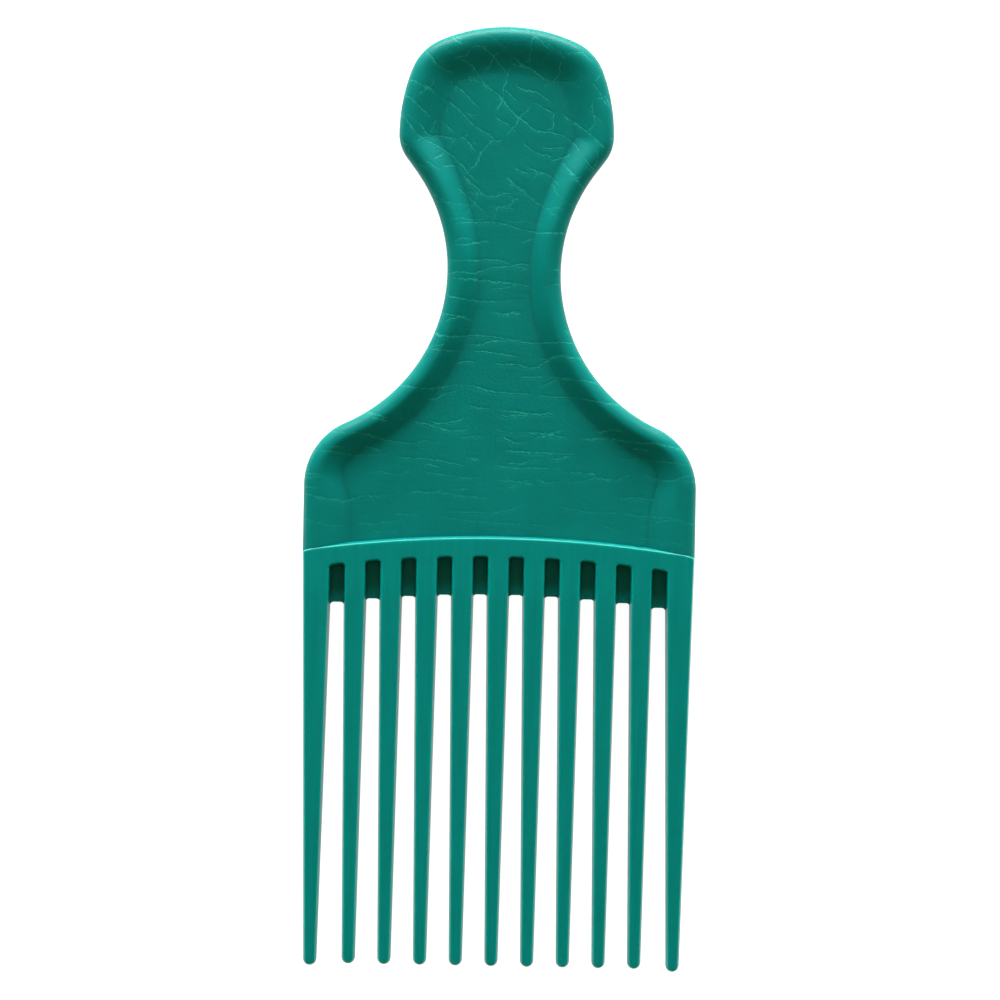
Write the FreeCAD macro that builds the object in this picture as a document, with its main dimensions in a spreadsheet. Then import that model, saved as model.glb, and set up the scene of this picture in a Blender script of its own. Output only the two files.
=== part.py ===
import FreeCAD, Part

import math
import os
from collections import namedtuple

import Sketcher
from FreeCAD import Vector

# An afro pick, one plastic moulding that lies on its back: a waisted handle with a raised rim
# round a thin panel, a thick cross bar, and a row of long tapering teeth with thin webs between
# their roots. The two faces are alike about the parting plane halfway through the thickness.
# The origin is the middle of the cross bar, on its back face. +X runs along the bar, +Y towards
# the head of the handle and +Z out of the front. Lengths are in millimetres, angles in degrees.
SIZES = {
    # Cross bar: both of its long edges arch up towards the handle
    "bar_width": 70.8,
    "bar_height": 4.0,
    "bar_thickness": 5.8,
    "arch_radius": 228.0,
    # Teeth, which share the width of the bar that the gaps and the outer teeth leave them
    "gap_root_width": 2.15,
    "tooth_reach": 75.75,
    "tooth_tip_radius": 1.2,
    "tooth_tip_thickness": 2.6,
    "tooth_draft": 9.0,
    # The two outer teeth are wider at the root, lean inwards and reach a little further
    "outer_root_width": 5.3,
    "outer_tip_setback": 1.45,
    "outer_extra_reach": 0.4,
    # Webs that close the gaps near the bar
    "web_length": 6.6,
    "web_thickness": 1.4,
    "web_corner_radius": 0.7,
    "web_corner_drop": 0.45,
    # Outline of the handle, from the bar up to the head
    "shoulder_reach": 10.75,
    "shoulder_radius": 12.25,
    "waist_half_width": 10.25,
    "waist_radius": 30.45,
    "lobe_straight": 2.8,
    "lobe_radius": 6.9,
    "head_half_width": 19.4,
    "head_side_radius": 33.0,
    "head_corner_radius": 9.5,
    "head_height": 19.6,
    "head_top_radius": 30.1,
    # Section of the rim and panel
    "rim_thickness": 5.5,
    "parting_land": 1.2,
    "side_slope": 35.0,
    "crest_setback": 1.8,
    "crest_width": 0.3,
    "wall_run": 4.0,
    "wall_bevel_run": 1.3,
    "wall_bevel_drop": 0.35,
    "panel_thickness": 1.9,
    # Small bevel of the moulded edges, and how far blanks run past the face that trims them
    "edge_bevel": 0.3,
    "trim_allowance": 1.0,
}
TEETH_EACH_SIDE = 5

# Numbers by which a sketch knows its origin, its axes and the ends and centre of a curve
ORIGIN = (-1, 1)
Y_AXIS, X_AXIS = range(-2, 0)
START, END, CENTRE = range(1, 4)

HALF_TURN = math.pi
QUARTER_TURN = math.pi / 2
SAME = 0.01

Stretch = namedtuple("Stretch", "curve first last")
Tooth = namedtuple("Tooth", "number left_root right_root tip_x tip_y reach")


class Measure:
    """A length: its value now, and the formula over the sheet that keeps it up to date."""

    def __init__(self, value, formula):
        self.value = value
        self.formula = formula

    def joined(self, sign, other, work):
        """Return the measure that this one and another, or a number, make together."""
        if not isinstance(other, Measure):
            other = Measure(other, str(other))
        return Measure(work(self.value, other.value), f"({self.formula} {sign} {other.formula})")

    def __add__(self, other):
        return self.joined("+", other, lambda a, b: a + b)

    def __sub__(self, other):
        return self.joined("-", other, lambda a, b: a - b)

    def __mul__(self, other):
        return self.joined("*", other, lambda a, b: a * b)

    def __truediv__(self, other):
        return self.joined("/", other, lambda a, b: a / b)

    def __neg__(self):
        return Measure(-self.value, f"(-{self.formula})")


def driving(name):
    """Return the measure of one driving size."""
    return Measure(SIZES[name], f"sizes.{name}")


def square_root(area):
    """Return the side of a square of this area."""
    return Measure(math.sqrt(area.value), f"sqrt({area.formula})")


def tangent(angle):
    """Return the tangent of an angle in degrees."""
    return Measure(math.tan(math.radians(angle.value)), f"tan({angle.formula} * 1 deg)")


ZERO = Measure(0, "0")
TRIM = driving("trim_allowance")
BAR_HALF = driving("bar_height") / 2
FRONT = driving("bar_thickness") / 2
WEB_FACE = driving("web_thickness") / 2
HALF_WIDTH = driving("bar_width") / 2
GAP_WIDTH = driving("gap_root_width")
INNER_HALF = HALF_WIDTH - driving("outer_root_width") - GAP_WIDTH * TEETH_EACH_SIDE
TOOTH_WIDTH = INNER_HALF * 2 / (2 * TEETH_EACH_SIDE - 1)
PITCH = TOOTH_WIDTH + GAP_WIDTH
CREST_EDGE = HALF_WIDTH - driving("crest_setback") - driving("crest_width")
RIM_WIDTH = HALF_WIDTH - CREST_EDGE + driving("wall_run")
TOOTH_TOP = TRIM - BAR_HALF
SLIM_START = -BAR_HALF - driving("web_length")


def arch_fall(across):
    """Return how far the bar's arch has fallen below its crown at a distance from the middle."""
    radius = driving("arch_radius")
    return radius - square_root(radius * radius - across * across)


# Document, sheet and bodies
def make_document():
    """Start the document with the driving sizes in a sheet."""
    document = FreeCAD.newDocument("afro_pick")
    sheet = document.addObject("Spreadsheet::Sheet", "sizes")
    for row, (name, value) in enumerate(SIZES.items(), start=1):
        sheet.set(f"A{row}", name)
        sheet.set(f"B{row}", str(value))
        sheet.setAlias(f"B{row}", name)
    document.recompute()
    return document


def make_body(document, label):
    """Start a sub-part whose own XY plane is the parting plane."""
    body = document.addObject("PartDesign::Body", label)
    body.Label = label
    body.setExpression("Placement.Base.z", FRONT.formula)
    return body


def origin_plane(body, role):
    """Return one of a body's own origin planes."""
    return next(part for part in body.Origin.OriginFeatures if part.Role == role)


def make_sketch(body, name, role, lift=ZERO):
    """Start a sketch on one of a body's origin planes, or lifted off it."""
    sketch = body.newObject("Sketcher::SketchObject", name)
    sketch.AttachmentSupport = [(origin_plane(body, role), "")]
    sketch.MapMode = "FlatFace"
    if lift is not ZERO:
        sketch.setExpression("AttachmentOffset.Base.z", lift.formula)
    return sketch


def pad(body, sketch, length, sides="Symmetric"):
    """Pad a sketch evenly to both sides of its plane, or to one side."""
    feature = body.newObject("PartDesign::Pad", f"{sketch.Name}_pad")
    feature.Profile = sketch
    feature.SideType = sides
    feature.setExpression("Length", length.formula)
    return feature


def cut(body, sketch):
    """Cut a sketch right through a body, to both sides of the sketch's plane."""
    feature = body.newObject("PartDesign::Pocket", f"{sketch.Name}_cut")
    feature.Profile = sketch
    feature.Type = "ThroughAll"
    feature.SideType = "Symmetric"
    return feature


def mirror(body, role):
    """Repeat all of a body so far on the far side of one of its origin planes."""
    body.Document.recompute()
    copy = body.newObject("PartDesign::Mirrored", f"{body.Name}_mirrored")
    copy.TransformMode = "Whole shape"
    copy.MirrorPlane = (origin_plane(body, role), [""])
    body.Tip = copy


def edge_names(shape, is_wanted):
    """Return the names of a shape's edges that a test picks out."""
    return [f"Edge{place}" for place, edge in enumerate(shape.Edges, start=1) if is_wanted(edge)]


def bevel_edges(body, is_wanted):
    """Bevel the edges of a body that a test picks out."""
    body.Document.recompute()
    base = body.Tip
    feature = body.newObject("PartDesign::Chamfer", f"{body.Name}_bevel")
    feature.Base = (base, edge_names(base.Shape, is_wanted))
    feature.setExpression("Size", driving("edge_bevel").formula)


def draft_sides(body, is_wanted):
    """Draft a body's sides above the webs' face, from the front edge that a test picks out."""
    body.Document.recompute()
    base = body.Tip
    names = edge_names(base.Shape, is_wanted)
    edge = base.Shape.getElement(names[0])
    first_face = next(face for face in base.Shape.Faces if any(map(edge.isSame, face.Edges)))
    height = FRONT - WEB_FACE
    lean = height * tangent(driving("tooth_draft"))
    starts_on_front = first_face.BoundBox.ZLength < SAME
    feature = body.newObject("PartDesign::Chamfer", f"{body.Name}_draft")
    feature.Base = (base, names)
    feature.ChamferType = "Two distances"
    feature.setExpression("Size", (lean if starts_on_front else height).formula)
    feature.setExpression("Size2", (height if starts_on_front else lean).formula)


# Sketch drawing
def hold_distance(sketch, kind, ends, measure):
    """Hold a distance in a sketch to a measure."""
    index = sketch.addConstraint(Sketcher.Constraint(kind, *ends, measure.value))
    sketch.setExpression(f"Constraints[{index}]", measure.formula)


def hold_coordinate(sketch, point, kind, measure):
    """Hold a sketch point's distance from the origin along one axis, on either side of it."""
    if measure.value == 0:
        axis = Y_AXIS if kind == "DistanceX" else X_AXIS
        sketch.addConstraint(Sketcher.Constraint("PointOnObject", *point, axis))
    elif measure.value > 0:
        hold_distance(sketch, kind, ORIGIN + point, measure)
    else:
        hold_distance(sketch, kind, point + ORIGIN, -measure)


def hold_point(sketch, point, across=None, along=None):
    """Hold a sketch point at signed distances from the sketch's origin."""
    if across is not None:
        hold_coordinate(sketch, point, "DistanceX", across)
    if along is not None:
        hold_coordinate(sketch, point, "DistanceY", along)


def add_line(sketch, first, last):
    """Add a straight stretch between two points."""
    return Stretch(sketch.addGeometry(Part.LineSegment(first, last)), START, END)


def add_arc(sketch, centre, radius, first, last):
    """Add a round stretch between two angles, which may turn either way."""
    circle = Part.Circle(centre, Vector(0, 0, 1), radius)
    curve = sketch.addGeometry(Part.ArcOfCircle(circle, min(first, last), max(first, last)))
    return Stretch(curve, START, END) if last > first else Stretch(curve, END, START)


def join(sketch, kind, *stretches):
    """Join stretches end to end, with a Coincident or a Tangent joint."""
    for before, after in zip(stretches, stretches[1:]):
        ends = (before.curve, before.last, after.curve, after.first)
        sketch.addConstraint(Sketcher.Constraint(kind, *ends))


def add_chain(sketch, corners):
    """Add straight stretches from corner to corner, each held where it starts."""
    places = [Vector(across.value, along.value, 0) for across, along in corners]
    chain = [add_line(sketch, first, last) for first, last in zip(places, places[1:])]
    join(sketch, "Coincident", *chain)
    for line, (across, along) in zip(chain, corners):
        hold_point(sketch, (line.curve, line.first), across, along)
    return chain


def add_polygon(sketch, corners):
    """Add a closed outline of straight stretches with every corner held."""
    chain = add_chain(sketch, corners + corners[:1])
    join(sketch, "Coincident", chain[-1], chain[0])


def add_arch(sketch, crown, right, left):
    """Add a stretch of an arch like the bar's, from its right end to its left end."""
    radius = driving("arch_radius")
    centre = crown - radius
    first = math.acos(right / radius.value)
    last = math.acos(left / radius.value)
    arch = add_arc(sketch, Vector(0, centre.value, 0), radius.value, first, last)
    hold_point(sketch, (arch.curve, CENTRE), ZERO, centre)
    hold_distance(sketch, "Radius", (arch.curve,), radius)
    return arch


def arch_point(crown, across):
    """Return the point of an arch at a distance from the middle."""
    radius = SIZES["arch_radius"]
    return Vector(across, crown.value - radius + math.sqrt(radius ** 2 - across ** 2), 0)


def draw_arch_block(sketch, crown, base):
    """Draw the area between an arch and a level base line, a little wider than the pick."""
    reach = HALF_WIDTH + TRIM
    arch = add_arch(sketch, crown, reach.value, -reach.value)
    left_foot = Vector(-reach.value, base.value, 0)
    right_foot = Vector(reach.value, base.value, 0)
    left = add_line(sketch, arch_point(crown, -reach.value), left_foot)
    level = add_line(sketch, left_foot, right_foot)
    right = add_line(sketch, right_foot, arch_point(crown, reach.value))
    join(sketch, "Coincident", arch, left, level, right, arch)
    hold_point(sketch, (arch.curve, arch.first), reach)
    hold_point(sketch, (arch.curve, arch.last), -reach)
    hold_point(sketch, (level.curve, level.first), -reach, base)
    hold_point(sketch, (level.curve, level.last), reach, base)


# Outline of the handle
def direction(angle):
    """Return the unit vector at an angle in the plane of the pick."""
    return Vector(math.cos(angle), math.sin(angle), 0)


def angle_of(vector):
    """Return the angle of a vector in the plane of the pick."""
    return math.atan2(vector.y, vector.x)


def centre_within(big, big_radius, other, other_radius, radius):
    """Return the centre of the arc that blends two larger arcs from inside, out to the right."""
    gap = other - big
    span = gap.Length
    reach = big_radius - radius
    along = (reach ** 2 - (other_radius - radius) ** 2 + span ** 2) / (2 * span)
    aside = math.sqrt(reach ** 2 - along ** 2)
    forward = gap / span
    return big + forward * along + Vector(-forward.y, forward.x, 0) * aside


def draw_half_outline(sketch, inset):
    """Draw the right half of the handle's outline, set in by a distance, from the side's foot.

    Every round stretch keeps its centre whatever the inset, so that the rim is equally wide
    all the way round. Returns the first and last stretches, whose free ends the caller holds.
    """
    half_width = HALF_WIDTH.value
    shoulder_radius = SIZES["shoulder_radius"]
    waist_radius = SIZES["waist_radius"]
    lobe_radius = SIZES["lobe_radius"]
    side_radius = SIZES["head_side_radius"]
    corner_radius = SIZES["head_corner_radius"]
    top_radius = SIZES["head_top_radius"]

    shoulder_centre = Vector(half_width - shoulder_radius, SIZES["shoulder_reach"], 0)
    waist_across = SIZES["waist_half_width"] + waist_radius
    aside = waist_across - shoulder_centre.x
    rise = math.sqrt((waist_radius + shoulder_radius) ** 2 - aside ** 2)
    waist_centre = Vector(waist_across, shoulder_centre.y + rise, 0)
    shoulder_turn = math.atan2(rise, aside)
    turning = waist_radius + lobe_radius
    straight = SIZES["lobe_straight"]
    spread = SIZES["head_half_width"] - SIZES["waist_half_width"]
    slope = math.atan2(turning, straight)
    slope += math.asin((spread - turning) / math.hypot(turning, straight))
    climb = turning * math.sin(slope) + straight * math.cos(slope)
    lobe_along = waist_centre.y + climb
    lobe_centre = Vector(SIZES["head_half_width"] - lobe_radius, lobe_along, 0)
    side_centre = Vector(SIZES["head_half_width"] - side_radius, lobe_along, 0)
    top_centre = Vector(0, lobe_along + SIZES["head_height"] - top_radius, 0)
    corner_centre = centre_within(side_centre, side_radius, top_centre, top_radius, corner_radius)
    side_turn = angle_of(corner_centre - side_centre)
    top_turn = angle_of(corner_centre - top_centre)

    shift = inset.value
    side_foot = Vector(half_width - shift, -SIZES["bar_height"] / 2, 0)
    side_head = Vector(half_width - shift, shoulder_centre.y, 0)
    slope_foot = waist_centre + direction(HALF_TURN - slope) * (waist_radius + shift)
    slope_head = lobe_centre + direction(-slope) * (lobe_radius - shift)

    flank = add_line(sketch, side_foot, side_head)
    shoulder = add_arc(sketch, shoulder_centre, shoulder_radius - shift, 0, shoulder_turn)
    waist = add_arc(
        sketch, waist_centre, waist_radius + shift, HALF_TURN + shoulder_turn, HALF_TURN - slope
    )
    rise_line = add_line(sketch, slope_foot, slope_head)
    lobe = add_arc(sketch, lobe_centre, lobe_radius - shift, -slope, 0)
    side = add_arc(sketch, side_centre, side_radius - shift, 0, side_turn)
    corner = add_arc(sketch, corner_centre, corner_radius - shift, side_turn, top_turn)
    top = add_arc(sketch, top_centre, top_radius - shift, top_turn, QUARTER_TURN)
    join(sketch, "Tangent", flank, shoulder, waist, rise_line, lobe, side, corner, top)

    sketch.addConstraint(Sketcher.Constraint("Vertical", flank.curve))
    hold_point(sketch, (flank.curve, flank.last), HALF_WIDTH - inset, driving("shoulder_reach"))
    hold_distance(sketch, "Radius", (shoulder.curve,), driving("shoulder_radius") - inset)
    hold_point(sketch, (waist.curve, CENTRE), driving("waist_half_width") + driving("waist_radius"))
    hold_distance(sketch, "Radius", (waist.curve,), driving("waist_radius") + inset)
    hold_distance(sketch, "Distance", (rise_line.curve,), driving("lobe_straight"))
    hold_distance(sketch, "Radius", (lobe.curve,), driving("lobe_radius") - inset)
    hold_point(sketch, (lobe.curve, lobe.last), driving("head_half_width") - inset)
    level = (side.curve, CENTRE, side.curve, side.first)
    sketch.addConstraint(Sketcher.Constraint("Horizontal", *level))
    hold_distance(sketch, "Radius", (side.curve,), driving("head_side_radius") - inset)
    hold_distance(sketch, "Radius", (corner.curve,), driving("head_corner_radius") - inset)
    hold_distance(sketch, "Radius", (top.curve,), driving("head_top_radius") - inset)
    hold_point(sketch, (top.curve, CENTRE), ZERO)
    hold_point(sketch, (top.curve, top.last), ZERO)
    height = (side.curve, side.first, top.curve, top.last)
    hold_distance(sketch, "DistanceY", height, driving("head_height") - inset)
    return flank, top


# Handle
def draw_rim_section(sketch):
    """Draw the rim's section: sloping sides, rounded crests and bevelled walls to the panel."""
    land = driving("parting_land") / 2
    crest = driving("rim_thickness") / 2
    panel = driving("panel_thickness") / 2
    inner = HALF_WIDTH - RIM_WIDTH
    crest_start = HALF_WIDTH - driving("crest_setback")
    bevel = driving("wall_bevel_run")
    drop = driving("wall_bevel_drop")
    slope = math.radians(SIZES["side_slope"])
    height = crest.value - land.value
    spare = SIZES["crest_setback"] - height * math.tan(slope)
    radius = spare / (math.cos(slope) - math.tan(slope) * (1 - math.sin(slope)))

    ends = [(HALF_WIDTH, -land), (HALF_WIDTH, land)]
    outside, = add_chain(sketch, ends)
    hold_point(sketch, (outside.curve, outside.last), *ends[1])
    ends = [(inner, panel), (inner, -panel)]
    inside, = add_chain(sketch, ends)
    hold_point(sketch, (inside.curve, inside.last), *ends[1])
    for face in (1, -1):
        land_edge = Vector(HALF_WIDTH.value, face * land.value, 0)
        centre = Vector(crest_start.value, face * (crest.value - radius), 0)
        side = add_line(sketch, land_edge, centre + direction(face * slope) * radius)
        outer = add_arc(sketch, centre, radius, face * slope, face * QUARTER_TURN)
        corners = [
            (crest_start, crest * face),
            (CREST_EDGE, crest * face),
            (CREST_EDGE - bevel, (crest - drop) * face),
            (inner + bevel, (panel + drop) * face),
            (inner, panel * face),
        ]
        wall = add_chain(sketch, corners)
        start = outside if face > 0 else Stretch(outside.curve, outside.last, outside.first)
        finish = inside if face > 0 else Stretch(inside.curve, inside.last, inside.first)
        join(sketch, "Coincident", start, side)
        join(sketch, "Tangent", side, outer, wall[0])
        join(sketch, "Coincident", wall[-1], finish)
        lean = face * (QUARTER_TURN + slope)
        index = sketch.addConstraint(Sketcher.Constraint("Angle", side.curve, lean))
        sketch.setExpression(f"Constraints[{index}]", f"{face} * (90 + sizes.side_slope) * 1 deg")


def make_handle_rim(document):
    """Sweep the rim's section up one side of the handle, mirror it, and trim it to the bar."""
    body = make_body(document, "handle_rim")
    foot = arch_fall(HALF_WIDTH) - BAR_HALF + TRIM
    path = make_sketch(body, "rim_path", "XY_Plane")
    flank, _ = draw_half_outline(path, ZERO)
    hold_point(path, (flank.curve, flank.first), None, -foot)
    section = make_sketch(body, "rim_section", "XZ_Plane", foot)
    draw_rim_section(section)
    document.recompute()
    sweep = body.newObject("PartDesign::AdditivePipe", "rim_sweep")
    sweep.Profile = section
    sweep.Spine = (path, [])
    mirror(body, "YZ_Plane")
    bar_edge = make_sketch(body, "rim_trim", "XY_Plane")
    draw_arch_block(bar_edge, BAR_HALF, -(foot + TRIM))
    cut(body, bar_edge)
    return body


def make_handle_panel(document):
    """Pad the thin panel inside the rim, down to the bar."""
    body = make_body(document, "handle_panel")
    sketch = make_sketch(body, "panel_outline", "XY_Plane")
    flank, top = draw_half_outline(sketch, RIM_WIDTH)
    arch = add_arch(sketch, BAR_HALF, 0, HALF_WIDTH.value - RIM_WIDTH.value)
    crown = Vector(0, BAR_HALF.value, 0)
    middle = add_line(sketch, crown + Vector(0, SIZES["head_height"], 0), crown)
    join(sketch, "Coincident", top, middle, arch, flank)
    hold_point(sketch, (arch.curve, arch.first), ZERO)
    pad(body, sketch, driving("panel_thickness"))
    mirror(body, "YZ_Plane")
    return body


# Cross bar
def make_tooth_bar(document):
    """Pad the cross bar, draft its two ends like the outer teeth, and bevel its upper edges."""
    body = make_body(document, "tooth_bar")
    sketch = make_sketch(body, "bar_outline", "XY_Plane")
    reach = HALF_WIDTH.value
    upper = add_arch(sketch, BAR_HALF, reach, -reach)
    lower = add_arch(sketch, -BAR_HALF, -reach, reach)
    left = add_line(sketch, arch_point(BAR_HALF, -reach), arch_point(-BAR_HALF, -reach))
    right = add_line(sketch, arch_point(-BAR_HALF, reach), arch_point(BAR_HALF, reach))
    join(sketch, "Coincident", upper, left, lower, right, upper)
    for line in (left, right):
        side = HALF_WIDTH if line is right else -HALF_WIDTH
        hold_point(sketch, (line.curve, line.first), side)
        hold_point(sketch, (line.curve, line.last), side)
    pad(body, sketch, driving("bar_thickness"))

    ends = make_sketch(body, "bar_end_draft", "XZ_Plane")
    far_face = FRONT + TRIM
    lean = (far_face - WEB_FACE) * tangent(driving("tooth_draft"))
    for side in (1, -1):
        for face in (1, -1):
            outer = (HALF_WIDTH + TRIM) * side
            corners = [
                (HALF_WIDTH * side, WEB_FACE * face),
                ((HALF_WIDTH - lean) * side, far_face * face),
                (outer, far_face * face),
                (outer, WEB_FACE * face),
            ]
            add_polygon(ends, corners)
    cut(body, ends)

    def is_moulded_edge(edge):
        """Tell whether an edge bounds the front or back along the handle or at an end."""
        low, high = sorted(vertex.Point.y for vertex in edge.Vertexes)
        at_face = all(abs(abs(v.Point.z) - FRONT.value) < SAME for v in edge.Vertexes)
        is_lower_arch = edge.BoundBox.YMax < BAR_HALF.value - SAME and high - low < SAME
        return at_face and not is_lower_arch

    bevel_edges(body, is_moulded_edge)
    return body


# Teeth
def plan_tooth(place):
    """Return where a tooth's roots and tip lie, by its place counted from the middle tooth."""
    half_root = TOOTH_WIDTH / 2
    tip_radius = driving("tooth_tip_radius")
    centre = PITCH * place if place else ZERO
    left_root = centre - half_root if place else -half_root
    right_root = centre + half_root if place else half_root
    tip_x = centre
    reach = driving("tooth_reach")
    if abs(place) == TEETH_EACH_SIDE:
        side = 1 if place > 0 else -1
        tip_x = (HALF_WIDTH - driving("outer_tip_setback") - tip_radius) * side
        reach = reach + driving("outer_extra_reach")
        if side > 0:
            right_root = HALF_WIDTH
        else:
            left_root = -HALF_WIDTH
    number = place + TEETH_EACH_SIDE + 1
    return Tooth(number, left_root, right_root, tip_x, tip_radius - reach, reach)


def flank_turn(tooth, side):
    """Return the angle round the tip at which a straight flank touches it: left -1, right 1."""
    root = tooth.right_root if side > 0 else tooth.left_root
    to_root = Vector(root.value - tooth.tip_x.value, TOOTH_TOP.value - tooth.tip_y.value, 0)
    return angle_of(to_root) - side * math.acos(SIZES["tooth_tip_radius"] / to_root.Length)


def flank_ends(tooth, side):
    """Return the root end and the tip end of a tooth's straight flank: left -1, right 1."""
    root = tooth.right_root if side > 0 else tooth.left_root
    tip = Vector(tooth.tip_x.value, tooth.tip_y.value, 0)
    touch = tip + direction(flank_turn(tooth, side)) * SIZES["tooth_tip_radius"]
    return Vector(root.value, TOOTH_TOP.value, 0), touch


def draw_tooth_plan(sketch, tooth):
    """Draw a tooth seen from the front: two straight flanks that run into a round tip."""
    left_top, left_touch = flank_ends(tooth, -1)
    right_top, right_touch = flank_ends(tooth, 1)
    tip = Vector(tooth.tip_x.value, tooth.tip_y.value, 0)
    tip_end = flank_turn(tooth, 1) + 2 * HALF_TURN
    left = add_line(sketch, left_top, left_touch)
    bow = add_arc(sketch, tip, SIZES["tooth_tip_radius"], flank_turn(tooth, -1), tip_end)
    right = add_line(sketch, right_touch, right_top)
    root = add_line(sketch, right_top, left_top)
    join(sketch, "Tangent", left, bow, right)
    join(sketch, "Coincident", right, root, left)
    hold_point(sketch, (left.curve, left.first), tooth.left_root, TOOTH_TOP)
    hold_point(sketch, (right.curve, right.last), tooth.right_root, TOOTH_TOP)
    hold_point(sketch, (bow.curve, CENTRE), tooth.tip_x, tooth.tip_y)
    hold_distance(sketch, "Radius", (bow.curve,), driving("tooth_tip_radius"))


def make_tooth(document, tooth):
    """Make a tooth's front half, drafted, slimmed to the tip and trimmed to the bar, and mirror it."""
    name = f"tooth_{tooth.number:02d}"
    body = make_body(document, name)
    plan = make_sketch(body, f"{name}_plan", "XY_Plane")
    draw_tooth_plan(plan, tooth)
    pad(body, plan, FRONT, "One side")

    def is_tip_edge(edge):
        """Tell whether an edge is the round of the tip at the front."""
        return edge.BoundBox.ZMin > FRONT.value - SAME and edge.BoundBox.YMax < SLIM_START.value

    draft_sides(body, is_tip_edge)
    tip_face = driving("tooth_tip_thickness") / 2
    fall = (FRONT - tip_face) / (tooth.reach + SLIM_START)
    far_end = -(tooth.reach + TRIM)
    slim = make_sketch(body, f"{name}_slim", "YZ_Plane")
    corners = [
        (SLIM_START, FRONT),
        (SLIM_START, FRONT + TRIM),
        (far_end, FRONT + TRIM),
        (far_end, tip_face - fall * TRIM),
    ]
    add_polygon(slim, corners)
    cut(body, slim)
    root = make_sketch(body, f"{name}_root", "XY_Plane")
    draw_arch_block(root, -BAR_HALF, BAR_HALF + TRIM)
    cut(body, root)

    def is_face_edge(edge):
        """Tell whether an edge runs along a flank or round the tip at the front."""
        for point in edge.discretize(3):
            depth = max(0, SLIM_START.value - point.y) * fall.value
            if abs(point.z - FRONT.value + depth) > SAME:
                return False
        reaches_slim_part = edge.BoundBox.YMin < SLIM_START.value + SAME
        return reaches_slim_part and edge.BoundBox.YLength > SAME

    bevel_edges(body, is_face_edge)
    mirror(body, "XY_Plane")
    return body


# Webs
def add_flank_guide(sketch, tooth, side):
    """Add a tooth's flank to a sketch as a guide line, and return its number."""
    top, touch = flank_ends(tooth, side)
    tip = Vector(tooth.tip_x.value, tooth.tip_y.value, 0)
    circle = Part.Circle(tip, Vector(0, 0, 1), SIZES["tooth_tip_radius"])
    bow = sketch.addGeometry(circle, True)
    guide = sketch.addGeometry(Part.LineSegment(top, touch), True)
    root = tooth.right_root if side > 0 else tooth.left_root
    hold_point(sketch, (bow, CENTRE), tooth.tip_x, tooth.tip_y)
    hold_distance(sketch, "Radius", (bow,), driving("tooth_tip_radius"))
    hold_point(sketch, (guide, START), root, TOOTH_TOP)
    sketch.addConstraint(Sketcher.Constraint("Tangent", guide, END, bow))
    return guide


def flank_across(tooth, side, along):
    """Return how far across the pick a tooth's flank lies at a height."""
    top, touch = flank_ends(tooth, side)
    return top.x + (touch.x - top.x) * (along - top.y) / (touch.y - top.y)


def make_web(document, left_tooth, right_tooth):
    """Pad the thin web between two teeth, with the rounded corners of the gap below it."""
    name = f"root_web_{left_tooth.number:02d}"
    body = make_body(document, name)
    sketch = make_sketch(body, f"{name}_outline", "XY_Plane")
    left_guide = add_flank_guide(sketch, left_tooth, 1)
    right_guide = add_flank_guide(sketch, right_tooth, -1)
    middle = (left_tooth.right_root + right_tooth.left_root) / 2
    end = -BAR_HALF - arch_fall(middle) - driving("web_length")
    radius = SIZES["web_corner_radius"]
    drop = SIZES["web_corner_drop"]
    turn = math.asin(1 - drop / radius)

    near_top = -BAR_HALF.value - arch_fall(middle).value
    left_top = flank_across(left_tooth, 1, near_top)
    right_top = flank_across(right_tooth, -1, near_top)
    left_foot = Vector(flank_across(left_tooth, 1, end.value - drop), end.value - drop, 0)
    right_foot = Vector(flank_across(right_tooth, -1, end.value - drop), end.value - drop, 0)
    left_centre = Vector(left_foot.x + radius * math.cos(turn), end.value - radius, 0)
    right_centre = Vector(right_foot.x - radius * math.cos(turn), end.value - radius, 0)
    up = Vector(0, radius, 0)

    arch = add_arch(sketch, -BAR_HALF, right_top, left_top)
    left = add_line(sketch, arch_point(-BAR_HALF, left_top), left_foot)
    left_corner = add_arc(sketch, left_centre, radius, HALF_TURN - turn, QUARTER_TURN)
    level = add_line(sketch, left_centre + up, right_centre + up)
    right_corner = add_arc(sketch, right_centre, radius, QUARTER_TURN, turn)
    right = add_line(sketch, right_foot, arch_point(-BAR_HALF, right_top))
    join(sketch, "Coincident", right, arch, left, left_corner)
    join(sketch, "Tangent", left_corner, level, right_corner)
    join(sketch, "Coincident", right_corner, right)
    for line, guide in ((left, left_guide), (right, right_guide)):
        for spot in (line.first, line.last):
            sketch.addConstraint(Sketcher.Constraint("PointOnObject", line.curve, spot, guide))
    sketch.addConstraint(Sketcher.Constraint("Horizontal", level.curve))
    hold_point(sketch, (level.curve, level.first), None, end)
    for corner, spot in ((left_corner, left_corner.first), (right_corner, right_corner.last)):
        hold_distance(sketch, "Radius", (corner.curve,), driving("web_corner_radius"))
        ends = (corner.curve, spot, level.curve, level.first)
        hold_distance(sketch, "DistanceY", ends, driving("web_corner_drop"))
    pad(body, sketch, driving("web_thickness"))
    return body


# Building and writing
def check(document, bodies):
    """Stop if any feature failed or any sub-part is not one sound solid."""
    for item in document.Objects:
        if "Invalid" in item.State or "Error" in item.State:
            raise RuntimeError(f"{item.Name} failed to build")
    for body in bodies:
        shape = body.Shape
        if shape.isNull() or not shape.isValid() or len(shape.Solids) != 1:
            raise RuntimeError(f"{body.Label} is not one sound solid")


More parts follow.
